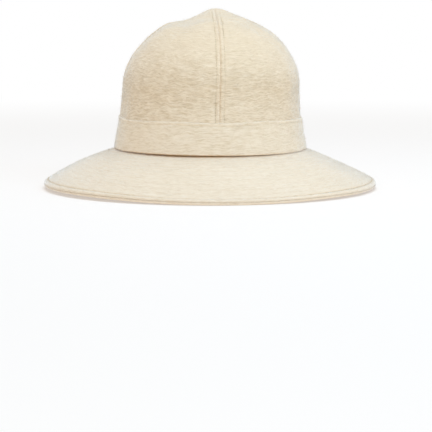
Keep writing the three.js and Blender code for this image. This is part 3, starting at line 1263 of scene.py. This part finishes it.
@dataclass
class BrimLayer:
    """One layer of the brim, with rings of stitching and a rolled rim."""

    form: HatForm
    finishes: Finishes
    layer: Layer
    columns: int = 480
    rim_row: float = 4.0 * MM
    row_spacing: float = 6.3 * MM
    ring_count: int = 11
    groove_width: float = 0.85 * MM
    groove_depth: float = 0.55 * MM
    hidden_depth: float = 0.1 * MM
    groove_shade: float = 0.3
    groove_rows: tuple[float, ...] = (-1.7, -1.0, -0.6, -0.3, 0.0, 0.3, 0.6, 1.0, 1.7)
    hidden_rows: int = 12
    hidden_span: tuple[float, float] = (-0.36, 0.55)
    seam_rows: tuple[float, ...] = (0.0, 0.7 * MM, 1.3 * MM, 1.8 * MM)
    back_rows: tuple[float, ...] = (1.0, 0.5, 0.0)
    back_inset: float = 0.3 * MM
    band_shade_reach: float = 5.0 * MM
    rim_roll: float = 1.7 * MM
    roll_rows: int = 9
    tufts: NapTufts = NapTufts(height=0.08 * MM, seed=8)
    tuft_stretch: float = 1.5
    tuft_fade: float = 4 * MM
    nap_shift: float = 1.7
    hairs: LooseHairs = LooseHairs(0.22 / MM**2, seed=51, longest=2.0 * MM, most_rise=50.0)
    hairs_from: float = 5.5 * MM

    def ring_distances(self) -> Array:
        """Distances of the stitched rings from the rim, along the slope."""
        return self.rim_row + self.row_spacing * np.arange(self.ring_count)

    def ring_depths(self) -> Array:
        """Depths of the stitched rings. The nap of the upper layer hides all but the one at the rim.

        Returns:
            The depths, from the rim inwards.
        """
        others = self.hidden_depth if self.layer is Layer.UPPER else self.groove_depth
        depths = np.full(self.ring_count, others)
        depths[0] = self.groove_depth
        return depths

    def groove(self, from_rim: Array) -> Array:
        """How far the finished face sinks in at the rings.

        Args:
            from_rim: distances from the rim.

        Returns:
            Depths, same shape.
        """
        depth = np.zeros_like(from_rim)
        for distance, ring_depth in zip(self.ring_distances(), self.ring_depths()):
            depth = depth + ring_depth * bump_at(from_rim, distance, self.groove_width)
        return depth

    def row_distances(self) -> Array:
        """Distances from the rim where the finished face has rows of points, closer at rings that show.

        Returns:
            The distances, the largest first.
        """
        shown = np.append(np.array(self.groove_rows) * self.groove_width, 0.5 * self.row_spacing)
        hidden = np.linspace(*self.hidden_span, self.hidden_rows) * self.row_spacing
        steps = [hidden if depth < self.groove_depth else shown for depth in self.ring_depths()]
        rows = [distance + step for distance, step in zip(self.ring_distances(), steps)]
        return np.sort(np.concatenate(rows))[::-1]

    def below_top(self, depth: Array) -> Array:
        """Depth below the brim's top of a point that lies so deep in this layer, from its finished face."""
        return depth if self.layer is Layer.UPPER else self.form.brim_thickness - depth

    def face(self, turns: Array) -> tuple[Array, Array, Array]:
        """Rows of points on the finished face, from the seam to the rim.

        Args:
            turns: angles of the columns, shape (columns, 1).

        Returns:
            Shares of the way to the rim, depths below the plain face, and how strongly painted shade darkens
            each point, all of shape (columns, rows).
        """
        slant = self.form.brim_slant(turns)
        share = np.clip(1 - self.row_distances() / slant, 0, 1)
        share = np.sort(np.concatenate([np.array(self.seam_rows) / slant, share], axis=1), axis=1)
        from_seam = share * slant
        along = np.broadcast_to(turns * self.form.base_half_width * self.tuft_stretch, share.shape)
        tufts = self.tufts.at(along, from_seam) * np.clip(from_seam / self.tuft_fade, 0, 1)
        groove = self.groove(slant - from_seam)
        # Painted shade in the stitched grooves and, on the upper layer, under and just in front of the band.
        fold_shade = self.groove_shade * groove / self.groove_depth
        if self.layer is Layer.UPPER:
            under_band_shade = plateau(from_seam, self.band_shade_reach)
            fold_shade = np.maximum(fold_shade, under_band_shade * self.form.band_fold_shade(turns))
        return share, groove - tufts, fold_shade

    def build(self) -> list[Piece]:
        """Makes and dresses the layer, its stitches and, on the upper layer, its loose hairs.

        Returns:
            The pieces.
        """
        turns = even_turns(self.columns)[:, None] + math.pi
        width = self.form.brim_width(turns)
        face_share, face_depth, face_fold_shade = self.face(turns)
        roll = np.linspace(0, QUARTER_TURN, self.roll_rows)
        roll_share = 1 - self.rim_roll * (1 - np.sin(roll)) / width
        roll_depth = np.broadcast_to(self.rim_roll * (1 - np.cos(roll)), roll_share.shape)
        back_share = np.array(self.back_rows) * (1 - self.back_inset / width)
        back_depth = np.full_like(back_share, self.form.felt)
        share = np.concatenate([face_share, roll_share, back_share], axis=1)
        depth = self.below_top(np.concatenate([face_depth, roll_depth, back_depth], axis=1))
        angle = np.broadcast_to(turns, share.shape)
        points = self.form.brim(angle, share, depth)
        points[..., 2] = np.maximum(points[..., 2], 0)
        fold_shade = np.zeros_like(share)
        fold_shade[:, :face_fold_shade.shape[1]] = face_fold_shade
        uv = np.stack([angle * self.form.base_half_width, arc_lengths(points) + self.nap_shift], axis=-1)
        finished = {}
        if self.layer is Layer.UPPER:
            from_seam = face_share * self.form.brim_slant(turns)
            shown = np.flatnonzero(from_seam.min(axis=0) > self.hairs_from)[::-1]
            nap = [np.swapaxes(grid[:, shown], 0, 1) for grid in (points, uv)]
            finished[self.hairs.grow("loose_hairs_brim", *nap)] = self.finishes.hair
            points, uv, fold_shade = points[:, ::-1], uv[:, ::-1], fold_shade[:, ::-1]
        felt = MeshParts().add_grid(points, uv, closed=True, ring=True, fold_shade=fold_shade)
        finished[felt.to_object(self.layer.named("felt_brim"))] = self.finishes.smooth_felt
        finished[self.stitches().parts.to_object(self.layer.named("ring_stitches"))] = self.finishes.thread
        return dress(finished, self.layer.named("brim"))

    def stitches(self) -> StitchRows:
        """Makes the stitches of the rings that show on the finished face.

        Returns:
            All those rings.
        """
        rows = StitchRows()
        turns = np.linspace(0, FULL_TURN, RING_STEPS)
        slant = self.form.brim_slant(turns)
        outward_step = 0.01
        for distance, ring_depth in zip(self.ring_distances(), self.ring_depths()):
            if ring_depth < self.groove_depth:
                continue
            share = 1 - distance / slant
            depth = self.below_top(np.full_like(turns, ring_depth))
            path = self.form.brim(turns, share, depth)
            around = np.gradient(path, axis=0)
            outward = self.form.brim(turns, share + outward_step, depth) - path
            rows.add_row(path, unit(np.cross(outward, around)) * self.layer.value)
        return rows


@dataclass
class Sweatband:
    """A ribbed ribbon sewn round the inside of the head opening."""

    form: HatForm
    finishes: Finishes
    node: str = "sweatband"
    foot: float = -3.6 * MM
    height: float = 25 * MM
    air: float = 0.4 * MM
    thickness: float = 1.0 * MM
    stitch_level: float = 2 * MM
    columns: int = 360
    rows: int = 10

    def build(self) -> list[Piece]:
        """Makes and dresses the ribbon and the stitches along its lower edge.

        Returns:
            The pieces.
        """
        outer_out = -(self.form.felt + self.air)
        inner_out = outer_out - self.thickness
        rise = np.linspace(0, 1, self.rows)
        levels = self.foot + self.height * np.concatenate([rise, rise[::-1]])
        outs = np.concatenate([np.full(self.rows, outer_out), np.full(self.rows, inner_out)])
        angle, level = np.meshgrid(even_turns(self.columns) + math.pi, levels, indexing="ij")
        points = self.form.wall(angle, level, np.broadcast_to(outs, angle.shape))
        uv = np.stack([angle * self.form.base_half_width, level], axis=-1)
        ribbon = MeshParts().add_grid(points, uv, closed=True, ring=True).to_object("ribbon_sweatband")
        ring = np.linspace(0, FULL_TURN, RING_STEPS)
        edge = np.full_like(ring, self.foot + self.stitch_level)
        path = self.form.wall(ring, edge, np.full_like(ring, inner_out))
        inward = path - self.form.wall(ring, edge, np.full_like(ring, inner_out + MM))
        rows = StitchRows()
        rows.add_row(path, unit(inward))
        stitches = rows.parts.to_object("sweatband_stitches")
        return dress({ribbon: self.finishes.ribbon, stitches: self.finishes.thread}, self.node)


@dataclass(frozen=True)
class Lamp:
    """A square soft light that looks at the hat."""

    name: str
    place: tuple[float, float, float]
    size: float
    power: float
    colour: tuple[float, float, float]
    target: tuple[float, float, float] = (0.0, 0.0, 0.08)

    def build(self) -> None:
        """Adds the light to the scene."""
        data = bpy.data.lights.new(self.name, "AREA")
        data.size = self.size
        data.energy = self.power
        data.color = self.colour
        light = bpy.data.objects.new(self.name, data)
        light.location = self.place
        aim(light, Vector(self.target))
        bpy.context.scene.collection.objects.link(light)


@dataclass
class Studio:
    """A pale floor that fades into white, soft lights, and the camera."""

    floor_rings: tuple[float, ...] = (0.001, 0.3, 0.8, 2.0, 14.0)
    floor_sides: int = 96
    floor_colour: Colour = linear(252, 244, 237)
    floor_roughness: float = 0.9
    floor_specular: float = 0.1
    fade: Change = Change(0.3, 1.6, 0.35, 1.0)
    camera_azimuth: float = -5.0
    camera_elevation: float = 3.0
    camera_distance: float = 1.7
    image_size: int = 432
    pixels_per_metre: float = 1075.0
    hat_axis_pixel: tuple[float, float] = (210.0, 9.0)
    sensor: float = 36.0
    lamps: tuple[Lamp, ...] = (
        Lamp("key_light", (0.95, -1.3, 0.95), 0.8, 6.0, (0.43, 0.72, 1.0)),
        Lamp("top_light", (0.1, 0.0, 1.7), 1.2, 19.6, (0.72, 0.85, 1.0)),
        Lamp("fill_light", (0.0, -1.45, 0.2), 0.8, 1.8, (0.6, 0.82, 1.0)),
    )
    sky: tuple[tuple[float, Colour], ...] = ((0.14, WHITE), (0.46, (0.5, 0.485, 0.455, 1.0)))

    def build(self, top: Vector) -> None:
        """Makes the floor, the lights and the camera.

        Args:
            top: the top of the hat, which the camera puts on its place in the image.
        """
        self._floor()
        self._lights()
        self._camera(top)
        bpy.context.scene.view_settings.view_transform = "Standard"

    def _floor(self) -> None:
        """Makes a wide floor that turns into plain white light away from the hat."""
        radius, turn = np.meshgrid(self.floor_rings, even_turns(self.floor_sides), indexing="ij")
        points = np.stack([radius * np.cos(turn), radius * np.sin(turn), 0 * turn], axis=-1)
        floor = MeshParts().add_grid(points, points[..., :2], closed=True).to_object("floor")
        sheet = NodeSheet(bpy.data.materials.new("pale_floor"))
        sheet.set_shader(Base_Color=self.floor_colour, Roughness=self.floor_roughness,
                         Specular_IOR_Level=self.floor_specular)
        away = sheet.add("ShaderNodeVectorMath", operation="LENGTH", Vector=sheet.object_place())
        fade = sheet.follow(away.outputs["Value"], self.fade, interpolation_type="SMOOTHSTEP")
        glow = sheet.add("ShaderNodeEmission", Color=WHITE, Strength=1.0)
        mixed = sheet.add("ShaderNodeMixShader", Fac=fade)
        sheet.fill(mixed.inputs[1], sheet.nodes["Principled BSDF"].outputs["BSDF"])
        sheet.fill(mixed.inputs[2], glow.outputs["Emission"])
        sheet.fill(sheet.nodes["Material Output"].inputs["Surface"], mixed.outputs["Shader"])
        floor.data.materials.append(sheet.owner)
        floor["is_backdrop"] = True

    def _lights(self) -> None:
        """Makes the white surroundings and the soft lights."""
        sheet = NodeSheet(bpy.data.worlds.new("white_studio"))
        height = sheet.split(sheet.add("ShaderNodeTexCoord").outputs["Generated"])["Z"]
        sheet.fill(sheet.nodes["Background"].inputs["Color"], sheet.ramp(height, dict(self.sky)))
        bpy.context.scene.world = sheet.owner
        for lamp in self.lamps:
            lamp.build()

    def _camera(self, top: Vector) -> None:
        """Makes the camera and turns it so that the hat's top falls on its pixel.

        Args:
            top: the top of the hat.
        """
        data = bpy.data.cameras.new("camera")
        data.sensor_width = self.sensor
        data.lens = self.sensor * self.camera_distance * self.pixels_per_metre / self.image_size
        camera = bpy.data.objects.new("camera", data)
        azimuth, elevation = math.radians(self.camera_azimuth), math.radians(self.camera_elevation)
        back = Vector((math.sin(azimuth) * math.cos(elevation), -math.cos(azimuth) * math.cos(elevation),
                       math.sin(elevation)))
        camera.location = Vector((0, 0, top.z / 2)) + back * self.camera_distance
        right = Vector((math.cos(azimuth), math.sin(azimuth), 0))
        aside, below = ((self.image_size / 2 - pixel) / self.pixels_per_metre
                        for pixel in self.hat_axis_pixel)
        aim(camera, Vector((0, 0, top.z - below)) + right * aside)
        bpy.context.scene.collection.objects.link(camera)
        bpy.context.scene.camera = camera


def main() -> None:
    """Builds the hat's pieces and the studio."""
    logging.basicConfig(level=logging.INFO, format="%(name)s: %(message)s")
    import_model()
    cad_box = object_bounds()
    form = HatForm()
    finishes = Finishes.make()
    crown = [CrownPanel(form, finishes, quarter) for quarter in Quarter]
    brim = [BrimLayer(form, finishes, layer) for layer in Layer]
    for assembly in (*crown, Band(form, finishes), *brim, Sweatband(form, finishes)):
        for piece in assembly.build():
            log.info("%s: %d faces", piece.name, len(piece.data.polygons))
    Studio().build(cad_box[1])


if __name__ == "__main__":
    main()
